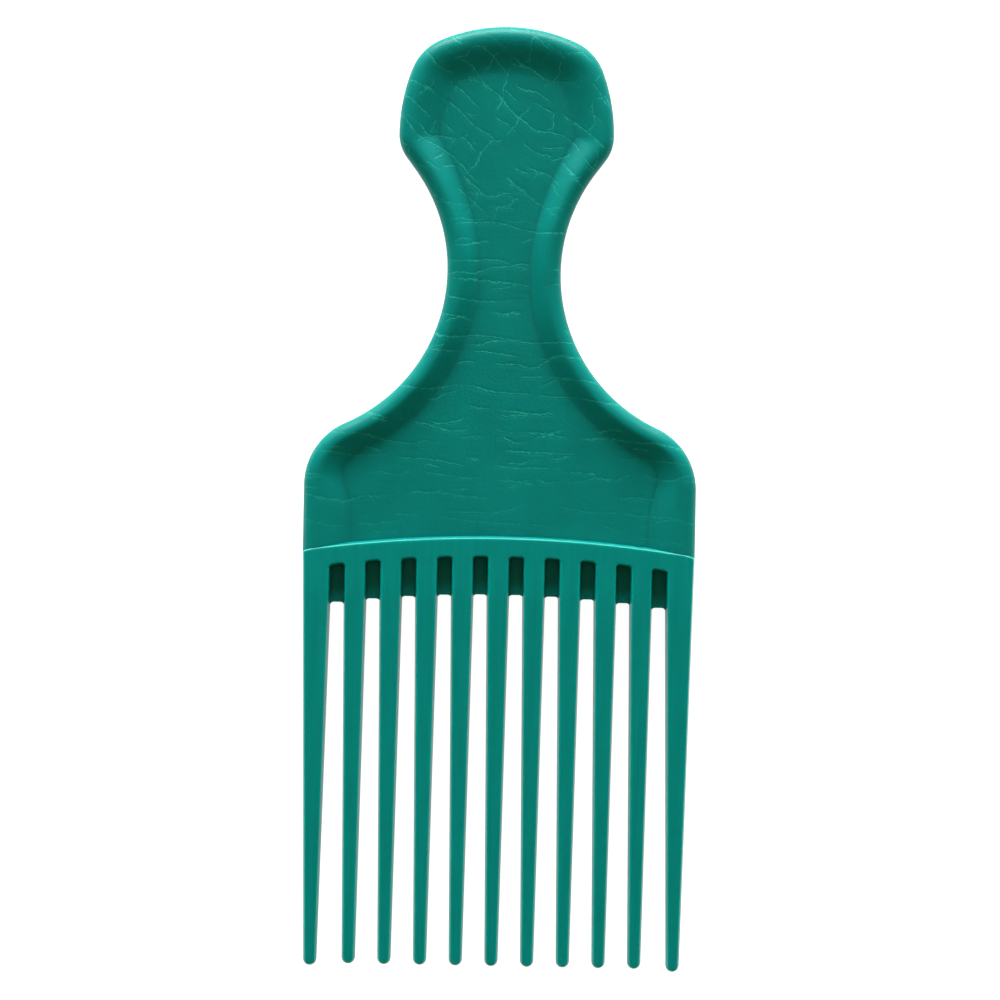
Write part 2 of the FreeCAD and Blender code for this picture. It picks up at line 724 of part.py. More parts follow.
def main():
    """Build every sub-part and write each to its own file."""
    document = make_document()
    bodies = [make_handle_rim(document), make_handle_panel(document), make_tooth_bar(document)]
    places = range(-TEETH_EACH_SIDE, TEETH_EACH_SIDE + 1)
    teeth = [plan_tooth(place) for place in places]
    bodies += [make_web(document, left, right) for left, right in zip(teeth, teeth[1:])]
    bodies += [make_tooth(document, tooth) for tooth in teeth]
    document.recompute()
    check(document, bodies)
    os.makedirs("parts", exist_ok=True)
    for body in bodies:
        body.Shape.exportStep(f"parts/{body.Label}.step")


main()
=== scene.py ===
import logging
import math
from dataclasses import dataclass
from enum import Enum
from typing import Any

import bmesh
import bpy
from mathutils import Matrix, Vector


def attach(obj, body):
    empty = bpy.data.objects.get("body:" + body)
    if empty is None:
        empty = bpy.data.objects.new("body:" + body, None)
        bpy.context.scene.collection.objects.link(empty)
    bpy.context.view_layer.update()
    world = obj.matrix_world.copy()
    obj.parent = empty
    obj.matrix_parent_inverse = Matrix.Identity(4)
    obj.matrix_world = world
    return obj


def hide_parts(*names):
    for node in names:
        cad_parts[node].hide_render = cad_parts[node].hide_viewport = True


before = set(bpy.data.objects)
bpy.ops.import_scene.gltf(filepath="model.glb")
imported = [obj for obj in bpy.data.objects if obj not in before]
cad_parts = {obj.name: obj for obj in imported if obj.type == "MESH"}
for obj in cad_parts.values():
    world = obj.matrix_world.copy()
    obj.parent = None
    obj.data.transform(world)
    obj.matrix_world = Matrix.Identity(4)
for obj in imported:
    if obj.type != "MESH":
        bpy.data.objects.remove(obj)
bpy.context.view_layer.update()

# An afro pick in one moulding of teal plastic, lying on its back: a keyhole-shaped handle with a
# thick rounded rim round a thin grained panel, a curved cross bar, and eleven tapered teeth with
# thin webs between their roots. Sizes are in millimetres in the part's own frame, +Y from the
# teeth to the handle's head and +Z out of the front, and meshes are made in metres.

MM = 0.001
MID_HEIGHT = 2.9
MERGE_DISTANCE = 0.002
EDGE_STEPS = 7
FACE_LIP = 0.06
LOG = logging.getLogger("afro_pick")
SOCKET_KINDS = {
    float: "NodeSocketFloat",
    int: "NodeSocketInt",
    bpy.types.Object: "NodeSocketObject",
    bpy.types.Material: "NodeSocketMaterial",
}


class Slot(Enum):
    """Two material slot names, grained and smooth plastic; no piece reads them."""

    GRAINED = "grained_plastic"
    SMOOTH = "smooth_plastic"


def linear(colour: str) -> tuple[float, float, float, float]:
    """Turn an sRGB hex colour into linear light.

    Args:
        colour: The colour as #rrggbb.
    Returns:
        Linear red, green, blue and full opacity.
    """
    parts = [int(colour[place:place + 2], 16) / 255 for place in (1, 3, 5)]
    red, green, blue = (
        part / 12.92 if part <= 0.04045 else ((part + 0.055) / 1.055) ** 2.4 for part in parts
    )
    return red, green, blue, 1.0


def add_node(
    tree: bpy.types.NodeTree, kind: str, inputs: dict[str | int, Any] | None = None, **settings: Any
) -> bpy.types.Node:
    """Add a node with its settings, and give each named input a value or a link.

    Args:
        tree: The node tree that takes the node.
        kind: The node's type as bpy names it.
        inputs: Input name or place, with a plain value or the output socket to link from.
        settings: The node's own properties.
    Returns:
        The new node.
    """
    node = tree.nodes.new(kind)
    for name, value in settings.items():
        setattr(node, name, value)
    for key, value in (inputs or {}).items():
        if isinstance(value, bpy.types.NodeSocket):
            tree.links.new(value, node.inputs[key])
        else:
            node.inputs[key].default_value = value
    return node


def line_object(name: str, points: list[Vector], closed: bool) -> bpy.types.Object:
    """Make a curve object of straight steps for a node tree to read.

    Args:
        name: The object's name.
        points: The line's points in metres.
        closed: Whether the last point joins the first.
    Returns:
        The curve object.
    """
    curve = bpy.data.curves.new(name, "CURVE")
    curve.dimensions = "3D"
    spline = curve.splines.new("POLY")
    spline.points.add(len(points) - 1)
    for place, point in zip(spline.points, points):
        place.co = (*point.to_3d(), 1.0)
    spline.use_cyclic_u = closed
    line = bpy.data.objects.new(name, curve)
    bpy.context.scene.collection.objects.link(line)
    return line


class ShapeTree:
    """A Geometry Nodes tree with named inputs that ends in one realised and dressed mesh."""

    def __init__(self, name: str, values: dict[str, Any]) -> None:
        """Make the tree and one named input for each value.

        Args:
            name: The tree's name.
            values: Input name with its value: a number, an object or a material.
        """
        self.values = values
        self.tree = bpy.data.node_groups.new(name, "GeometryNodeTree")
        face = self.tree.interface
        face.new_socket("Geometry", in_out="OUTPUT", socket_type="NodeSocketGeometry")
        for key, value in values.items():
            face.new_socket(key, in_out="INPUT", socket_type=SOCKET_KINDS[type(value)])
        self.inputs = add_node(self.tree, "NodeGroupInput").outputs

    def read(self, name: str) -> bpy.types.NodeSocket:
        """Return the geometry of the object that the named input holds."""
        held = add_node(self.tree, "GeometryNodeObjectInfo", {"Object": self.inputs[name]})
        return held.outputs["Geometry"]

    def keep(
        self, geometry: bpy.types.NodeSocket, kind: str, value: bpy.types.NodeSocket
    ) -> tuple[bpy.types.NodeSocket, bpy.types.NodeSocket]:
        """Hold a value on the geometry's points, so that it can be read after the next steps.

        Args:
            geometry: The curve or mesh.
            kind: The value's socket kind.
            value: The value as a field.
        Returns:
            The geometry that carries the value, and the value.
        """
        node = add_node(self.tree, "GeometryNodeCaptureAttribute", {"Geometry": geometry})
        node.capture_items.new(kind, "Kept")
        self.tree.links.new(value, node.inputs["Kept"])
        return node.outputs["Geometry"], node.outputs["Kept"]

    def close(self, geometry: bpy.types.NodeSocket) -> None:
        """Realise the geometry, give it its material and send it to the output.

        Args:
            geometry: The finished curve, mesh or instances.
        """
        whole = add_node(self.tree, "GeometryNodeRealizeInstances", {"Geometry": geometry})
        dressed = add_node(
            self.tree,
            "GeometryNodeSetMaterial",
            {"Geometry": whole.outputs[0], "Material": self.inputs["Material"]},
        )
        add_node(self.tree, "NodeGroupOutput", {"Geometry": dressed.outputs[0]})

    def run(self, name: str) -> bpy.types.Object:
        """Run the tree on an empty object and keep its result as a plain mesh.

        Args:
            name: The piece's name.
        Returns:
            The piece, with its faces pointing outwards.
        """
        host = bpy.data.objects.new(name + "_tree", bpy.data.meshes.new(name + "_tree"))
        bpy.context.scene.collection.objects.link(host)
        modifier = host.modifiers.new(name, "NODES")
        modifier.node_group = self.tree
        for item in self.tree.interface.items_tree:
            if item.in_out == "INPUT":
                modifier[item.identifier] = self.values[item.name]
        evaluated = host.evaluated_get(bpy.context.evaluated_depsgraph_get())
        mesh = bpy.data.meshes.new_from_object(evaluated)
        mesh.name = name
        host.modifiers.remove(modifier)
        for helper in [host, *(v for v in self.values.values() if isinstance(v, bpy.types.Object))]:
            bpy.data.objects.remove(helper)
        shape = bmesh.new()
        shape.from_mesh(mesh)
        bmesh.ops.recalc_face_normals(shape, faces=shape.faces)
        shape.to_mesh(mesh)
        shape.free()
        piece = bpy.data.objects.new(name, mesh)
        bpy.context.scene.collection.objects.link(piece)
        return piece


@dataclass(frozen=True)
class Arc:
    """One arc of an outline, in millimetres and degrees."""

    x: float
    y: float
    radius: float
    first: float
    last: float

    def at(self, angle: float) -> Vector:
        """Return the arc's point at an angle."""
        turn = math.radians(angle)
        return Vector((self.x + self.radius * math.cos(turn), self.y + self.radius * math.sin(turn)))

    def points(self, step: float) -> list[Vector]:
        """Return evenly spaced points from the first angle to the last, both included."""
        count = max(2, math.ceil(abs(math.radians(self.last - self.first)) * self.radius / step))
        return [self.at(self.first + (self.last - self.first) * i / count) for i in range(count + 1)]


def follow(arcs: list[Arc], step: float) -> list[Vector]:
    """Sample a chain of arcs and the straight runs between them.

    Args:
        arcs: The arcs in order; a gap between two of them is a straight run.
        step: The largest distance between two points, in millimetres.
    Returns:
        The chain's points.
    """
    points: list[Vector] = []
    for arc in arcs:
        fresh = arc.points(step)
        if points:
            run = fresh[0] - points[-1]
            count = max(1, math.ceil(run.length / step))
            points += [points[-1] + run * i / count for i in range(1, count)]
            if run.length < step / 4:
                fresh = fresh[1:]
        points += fresh
    return points


@dataclass(frozen=True)
class HandleOutline:
    """The handle's outline: upright flank, shoulder, waist, and a rounded trapezoid of a head."""

    half_width: float = 35.4
    foot: float = -1.3
    shoulder: Arc = Arc(23.15, 10.75, 12.25, 0, 65.73)
    waist: Arc = Arc(40.7, 49.677, 30.45, 245.73, 143.13)
    lobe: Arc = Arc(12.5, 74.327, 6.9, -36.87, 0)
    side: Arc = Arc(-13.6, 74.327, 33, 0, 0)
    top: Arc = Arc(0, 63.827, 30.1, 90, 90)
    corner_radius: float = 9.5

    def corner_centre(self) -> Vector:
        """Find the arc that blends the head's side into its top.

        Returns:
            The arc's centre in millimetres.
        """
        big, other = Vector((self.side.x, self.side.y)), Vector((self.top.x, self.top.y))
        span = (other - big).length
        forward = (other - big) / span
        reach = self.side.radius - self.corner_radius
        along = (reach**2 - (self.top.radius - self.corner_radius) ** 2 + span**2) / (2 * span)
        aside = math.sqrt(reach**2 - along**2)
        return big + forward * along + Vector((-forward.y, forward.x)) * aside

    def half(self, inset: float, step: float) -> list[Vector]:
        """Return the right half of the outline from its foot to the top's middle.

        Args:
            inset: How far inside the outline the line runs, in millimetres.
            step: The largest distance between two points.
        Returns:
            The half outline's points in millimetres.
        """
        corner = self.corner_centre()
        start = math.degrees(math.atan2(corner.y - self.side.y, corner.x - self.side.x))
        end = math.degrees(math.atan2(corner.y - self.top.y, corner.x - self.top.x))
        chain = [
            Arc(self.half_width - inset, self.foot, 0, 0, 0),
            Arc(self.shoulder.x, self.shoulder.y, self.shoulder.radius - inset, 0, self.shoulder.last),
            Arc(self.waist.x, self.waist.y, self.waist.radius + inset, self.waist.first, self.waist.last),
            Arc(self.lobe.x, self.lobe.y, self.lobe.radius - inset, self.lobe.first, self.lobe.last),
            Arc(self.side.x, self.side.y, self.side.radius - inset, 0, start),
            Arc(corner.x, corner.y, self.corner_radius - inset, start, end),
            Arc(self.top.x, self.top.y, self.top.radius - inset, end, 90),
        ]
        return follow(chain, step)[2:]

    def whole(self, inset: float, step: float) -> list[Vector]:
        """Return the outline from the right foot over the head to the left foot."""
        right = self.half(inset, step)
        return right + [Vector((-point.x, point.y)) for point in reversed(right[:-1])]


@dataclass(frozen=True)
class Crease:
    """One family of leather-like creases: long, wavy, broken lines at one slant.

    Lengths are in millimetres and the slant in degrees. The share, from 0 to 1, says how much of
    each line is left between its breaks.
    """

    slant: float
    spacing: float
    wave: float
    run: float
    share: float
    width: float = 0.21
    core: float = 0.03
    jitter: float = 0.13
    jitter_size: float = 0.8
    wander_stretch: tuple[float, float] = (1.4, 2.2)
    break_stretch: tuple[float, float] = (1.0, 0.9)
    noise_swing: float = 4.0
    break_levels: tuple[float, float] = (0.62, 0.76)
    share_weight: float = 0.3
    seed_steps: tuple[float, float] = (7.0, 31.0)

    def noise(
        self, tree: bpy.types.NodeTree, spot: bpy.types.NodeSocket, size: tuple[float, float], seed: int
    ) -> bpy.types.NodeSocket:
        """Make a noise that is stretched along the lines.

        Args:
            tree: A geometry or material tree.
            spot: Position in millimetres, turned to the lines.
            size: Size of the noise's swells along and across the lines.
            seed: Which of the family's noises this is.
        Returns:
            The noise's socket.
        """
        along, across = size
        shift = (self.spacing * self.seed_steps[0], seed * self.seed_steps[1], 0)
        place = add_node(
            tree, "ShaderNodeVectorMath", {0: spot, 1: (1 / along, 1 / across, 0), 2: shift},
            operation="MULTIPLY_ADD",
        )
        return add_node(
            tree, "ShaderNodeTexNoise", {"Vector": place.outputs[0], "Scale": 1.0, "Detail": 1.0},
            noise_dimensions="2D",
        ).outputs[0]

    def draw(
        self, tree: bpy.types.NodeTree, spot: bpy.types.NodeSocket, spread: float
    ) -> bpy.types.NodeSocket:
        """Draw the family as a field of 0 to 1.

        Args:
            tree: A geometry or material tree; both take the same nodes.
            spot: Position in millimetres.
            spread: How many times wider than the drawn line the field is.
        Returns:
            The field's socket.
        """
        turned = add_node(
            tree, "ShaderNodeVectorRotate", {"Vector": spot, "Angle": math.radians(self.slant)},
            rotation_type="Z_AXIS",
        ).outputs[0]
        long, wide = self.wander_stretch
        wander = self.noise(tree, turned, (self.run * long, self.spacing * wide), 0)
        shake = self.noise(tree, turned, (self.jitter_size, self.jitter_size), 1)
        long, wide = self.break_stretch
        breaks = self.noise(tree, turned, (self.run * long, self.spacing * wide), 2)
        level = add_node(tree, "ShaderNodeSeparateXYZ", {0: turned}).outputs["Y"]
        for noise, size in ((wander, self.wave), (shake, self.jitter)):
            level = add_node(
                tree, "ShaderNodeMath", {0: noise, 1: self.noise_swing * size, 2: level},
                operation="MULTIPLY_ADD",
            ).outputs[0]
        count = add_node(tree, "ShaderNodeMath", {0: level, 1: self.spacing}, operation="DIVIDE")
        aside = add_node(tree, "ShaderNodeMath", {0: count.outputs[0], 1: 0.5}, operation="PINGPONG")
        line = add_node(
            tree, "ShaderNodeMapRange",
            {
                "Value": aside.outputs[0], "From Min": self.core / self.spacing,
                "From Max": self.width * spread / self.spacing, "To Min": 1.0, "To Max": 0.0,
            },
            interpolation_type="SMOOTHSTEP",
        )
        low, high = (edge - self.share_weight * self.share for edge in self.break_levels)
        kept = add_node(
            tree, "ShaderNodeMapRange", {"Value": breaks, "From Min": low, "From Max": high},
            interpolation_type="SMOOTHSTEP",
        )
        return add_node(
            tree, "ShaderNodeMath", {0: line.outputs[0], 1: kept.outputs[0]}, operation="MULTIPLY"
        ).outputs[0]


@dataclass(frozen=True)
class MouldGrain:
    """The leather grain of the mould: slanting cells on the head, wavy level creases lower down."""

    head: tuple[Crease, ...] = (
        Crease(38.0, 3.7, 1.3, 8.0, 0.74),
        Crease(-50.0, 5.2, 1.6, 4.0, 0.46),
        Crease(22.0, 5.6, 1.2, 5.0, 0.46),
    )
    lower: tuple[Crease, ...] = (
        Crease(4.0, 3.3, 0.9, 11.0, 0.66),
        Crease(-5.0, 4.4, 1.1, 6.0, 0.5),
    )
    head_start: float = 55.0
    head_full: float = 68.0
    fade_start: float = 1.0
    fade_end: float = 20.0
    fade_least: float = 0.25
    back_shift: tuple[float, float] = (53.0, 17.0)
    press_spread: float = 1.9
    swells_per_mm: float = 0.14
    side_height: float = 0.9

    def veins(
        self, tree: bpy.types.NodeTree, place: bpy.types.NodeSocket, spread: float
    ) -> bpy.types.NodeSocket:
        """Draw all the creases as one field of 0 to 1.

        Args:
            tree: A geometry or material tree; both take the same nodes.
            place: Position in metres.
            spread: How many times wider than the drawn lines the field is.
        Returns:
            The field's socket.
        """
        metric = add_node(tree, "ShaderNodeVectorMath", {0: place, "Scale": 1 / MM}, operation="SCALE")
        parts = add_node(tree, "ShaderNodeSeparateXYZ", {0: metric.outputs[0]}).outputs
        back = add_node(tree, "ShaderNodeMath", {0: parts["Z"], 1: MID_HEIGHT}, operation="LESS_THAN")
        shift = add_node(
            tree, "ShaderNodeVectorMath", {0: (*self.back_shift, 0), "Scale": back.outputs[0]},
            operation="SCALE",
        )
        spot = add_node(
            tree, "ShaderNodeVectorMath", {0: metric.outputs[0], 1: shift.outputs[0]}, operation="ADD"
        )
        regions = []
        for family in (self.lower, self.head):
            lines = [crease.draw(tree, spot.outputs[0], spread) for crease in family]
            strongest = lines[0]
            for line in lines[1:]:
                both = add_node(tree, "ShaderNodeMath", {0: strongest, 1: line}, operation="MAXIMUM")
                strongest = both.outputs[0]
            regions.append(strongest)
        region = add_node(
            tree, "ShaderNodeMapRange",
            {"Value": parts["Y"], "From Min": self.head_start, "From Max": self.head_full},
            interpolation_type="SMOOTHSTEP",
        )
        either = add_node(
            tree, "ShaderNodeMix", {0: region.outputs[0], 2: regions[0], 3: regions[1]}, data_type="FLOAT"
        )
        fade = add_node(
            tree, "ShaderNodeMapRange",
            {
                "Value": parts["Y"], "From Min": self.fade_start, "From Max": self.fade_end,
                "To Min": self.fade_least,
            },
        )
        return add_node(
            tree, "ShaderNodeMath", {0: either.outputs[0], 1: fade.outputs[0]}, operation="MULTIPLY"
        ).outputs[0]

    def press_into(
        self, tree: bpy.types.NodeTree, geometry: bpy.types.NodeSocket, depth: bpy.types.NodeSocket
    ) -> bpy.types.NodeSocket:
        """Press the creases and gentle swells into both faces of a mesh.

        Args:
            tree: The geometry tree.
            geometry: The mesh, lying between its front and back faces.
            depth: How deep a crease goes, in metres.
        Returns:
            The grained mesh.
        """
        place = add_node(tree, "GeometryNodeInputPosition").outputs[0]
        vein = self.veins(tree, place, self.press_spread)
        swell = add_node(
            tree, "ShaderNodeTexNoise", {"Vector": place, "Scale": self.swells_per_mm / MM, "Detail": 1.0},
            noise_dimensions="3D",
        )
        rise = add_node(tree, "ShaderNodeMath", {0: swell.outputs[0], 1: vein}, operation="SUBTRACT")
        lift = add_node(tree, "ShaderNodeMath", {0: rise.outputs[0], 1: depth}, operation="MULTIPLY")
        height = add_node(tree, "ShaderNodeSeparateXYZ", {0: place}).outputs["Z"]
        side = add_node(
            tree, "ShaderNodeMapRange",
            {
                "Value": height, "From Min": (MID_HEIGHT - self.side_height) * MM,
                "From Max": (MID_HEIGHT + self.side_height) * MM, "To Min": -1.0, "To Max": 1.0,
            },
        )
        way = add_node(tree, "ShaderNodeMath", {0: lift.outputs[0], 1: side.outputs[0]}, operation="MULTIPLY")
        offset = add_node(tree, "ShaderNodeCombineXYZ", {"Z": way.outputs[0]})
        return add_node(
            tree, "GeometryNodeSetPosition", {"Geometry": geometry, "Offset": offset.outputs[0]}
        ).outputs[0]


@dataclass(frozen=True)
class Polypropylene:
    """Moulded polypropylene, coloured through.

    It is a little milky, so light goes some way in: shade stays soft and thin edges look brighter.
    The fine grain is its pitch in millimetres, drawn coarser than the mould's own so that it shows.
    The roughness has its least and most value, and the relief its strength and its depth.
    """

    name: str
    colour: str
    shade: str
    gloss: float
    fine_grain: float
    roughness: tuple[float, float]
    relief: tuple[float, float]
    ior: float = 1.49
    milkiness: float = 0.7
    glow_depth: float = 2.5
    glow_reach: tuple[float, float, float] = (0.2, 1.0, 0.9)

    def start(self) -> tuple[bpy.types.Material, bpy.types.NodeSocket, bpy.types.NodeSocket]:
        """Make the material with its constant values and its fine grain.

        Returns:
            The material, the position that its patterns follow, and the fine grain's field.
        """
        material = bpy.data.materials.new(self.name)
        material.use_nodes = True
        tree = material.node_tree
        shader = tree.nodes["Principled BSDF"]
        shader.inputs["IOR"].default_value = self.ior
        shader.inputs["Specular IOR Level"].default_value = self.gloss
        shader.inputs["Subsurface Weight"].default_value = self.milkiness
        shader.inputs["Subsurface Radius"].default_value = self.glow_reach
        shader.inputs["Subsurface Scale"].default_value = self.glow_depth * MM
        place = add_node(tree, "ShaderNodeTexCoord").outputs["Object"]
        grit = add_node(
            tree, "ShaderNodeTexNoise",
            {"Vector": place, "Scale": 1 / (self.fine_grain * MM), "Detail": 2.0},
        ).outputs[0]
        least, most = self.roughness
        dull = add_node(tree, "ShaderNodeMapRange", {"Value": grit, "To Min": least, "To Max": most})
        tree.links.new(dull.outputs[0], shader.inputs["Roughness"])
        return material, place, grit

    def mottle(
        self, tree: bpy.types.NodeTree, noise: bpy.types.NodeSocket, levels: tuple[float, float]
    ) -> bpy.types.NodeSocket:
        """Let a noise shift the colour between its two shades.

        Args:
            tree: The material's tree.
            noise: The noise's field.
            levels: Noise values that give the darker shade and the full colour.
        Returns:
            The colour's socket.
        """
        low, high = levels
        band = add_node(tree, "ShaderNodeMapRange", {"Value": noise, "From Min": low, "From Max": high})
        return add_node(
            tree, "ShaderNodeMix", {0: band.outputs[0], 6: linear(self.shade), 7: linear(self.colour)},
            data_type="RGBA",
        ).outputs[2]

    def finish(
        self, tree: bpy.types.NodeTree, paint: bpy.types.NodeSocket, height: bpy.types.NodeSocket
    ) -> None:
        """Give the shader its colour and its relief.

        Args:
            tree: The material's tree.
            paint: The colour.
            height: The relief as a field of about 0 to 1.
        """
        shader = tree.nodes["Principled BSDF"]
        tree.links.new(paint, shader.inputs["Base Color"])
        strength, depth = self.relief
        bump = add_node(
            tree, "ShaderNodeBump", {"Strength": strength, "Distance": depth * MM, "Height": height}
        )
        tree.links.new(bump.outputs[0], shader.inputs["Normal"])


# Moulded against a grained steel cavity: satin teal that is barely glossy; its veins are paler, a painted
# highlight for the light their ridges catch.
@dataclass(frozen=True)
class GrainedPolypropylene(Polypropylene):
    """The handle's finish, with a speckled painted highlight on its veins, which fade out on upright sides.
    """

    name: str = "grained_moulded_polypropylene"
    colour: str = "#006661"
    shade: str = "#00615c"
    gloss: float = 0.11
    fine_grain: float = 0.5
    roughness: tuple[float, float] = (0.34, 0.48)
    relief: tuple[float, float] = (0.6, 0.05)
    # painted highlight: the veins' paler colour, in place of the light their ridges catch
    vein_highlight_colour: str = "#1b8678"
    vein_slopes: tuple[float, float] = (0.3, 0.75)
    clouds_per_mm: float = 0.12
    cloud_levels: tuple[float, float] = (0.35, 0.65)
    # least share of the painted vein highlight where the fine grain is low
    least_highlight_speckle: float = 0.1
    grit_height: float = 0.9

    def build(self, grain: MouldGrain) -> bpy.types.Material:
        """Make the material; the veins carry a painted highlight, a paler speckled colour, and the ground
        between them is duller.

        Args:
            grain: The mould's grain, which the mesh follows too.
        Returns:
            The material.
        """
        material, place, grit = self.start()
        tree = material.node_tree
        facing = add_node(tree, "ShaderNodeTexCoord").outputs["Normal"]
        upward = add_node(tree, "ShaderNodeSeparateXYZ", {0: facing}).outputs["Z"]
        level = add_node(tree, "ShaderNodeMath", {0: upward}, operation="ABSOLUTE")
        steep, gentle = self.vein_slopes
        shown = add_node(
            tree, "ShaderNodeMapRange", {"Value": level.outputs[0], "From Min": steep, "From Max": gentle}
        )
        vein = add_node(
            tree, "ShaderNodeMath", {0: grain.veins(tree, place, 1.0), 1: shown.outputs[0]},
            operation="MULTIPLY",
        ).outputs[0]
        cloud = add_node(
            tree, "ShaderNodeTexNoise", {"Vector": place, "Scale": self.clouds_per_mm / MM, "Detail": 4.0}
        )
        ground = self.mottle(tree, cloud.outputs[0], self.cloud_levels)
        low, high = self.cloud_levels
        # painted highlight on the veins, broken into specks by the fine grain
        highlight_speckle = add_node(
            tree, "ShaderNodeMapRange",
            {"Value": grit, "From Min": low, "From Max": high, "To Min": self.least_highlight_speckle, "To Max": 1.0},
        )
        drawn = add_node(tree, "ShaderNodeMath", {0: vein, 1: highlight_speckle.outputs[0]}, operation="MULTIPLY")
        # mixes the painted vein highlight over the mottled ground colour
        paint = add_node(
            tree, "ShaderNodeMix", {0: drawn.outputs[0], 6: ground, 7: linear(self.vein_highlight_colour)},
            data_type="RGBA",
        )
        height = add_node(
            tree, "ShaderNodeMath", {0: grit, 1: self.grit_height, 2: vein}, operation="MULTIPLY_ADD"
        )
        self.finish(tree, paint.outputs[2], height.outputs[0])
        return material


# Moulded against polished steel: an even satin teal, glossier than the handle, with faint streaks.
@dataclass(frozen=True)
class SmoothPolypropylene(Polypropylene):
    """The comb's finish, with flow streaks of a given width, length and depth in millimetres."""

    name: str = "smooth_moulded_polypropylene"
    colour: str = "#00716c"
    shade: str = "#006b66"
    gloss: float = 0.2
    fine_grain: float = 0.3
    roughness: tuple[float, float] = (0.26, 0.34)
    relief: tuple[float, float] = (0.12, 0.03)
    streak: tuple[float, float, float] = (0.9, 14.0, 2.0)
    streak_levels: tuple[float, float] = (0.3, 0.7)

    def build(self) -> bpy.types.Material:
        """Make the material; streaks run along the teeth, as the melt flowed.

        Returns:
            The material.
        """
        material, place, grit = self.start()
        tree = material.node_tree
        scale = tuple(1 / (size * MM) for size in self.streak)
        drawn = add_node(tree, "ShaderNodeMapping", {"Vector": place, "Scale": scale})
        flow = add_node(
            tree, "ShaderNodeTexNoise", {"Vector": drawn.outputs[0], "Scale": 1.0, "Detail": 3.0}
        )
        self.finish(tree, self.mottle(tree, flow.outputs[0], self.streak_levels), grit)
        return material


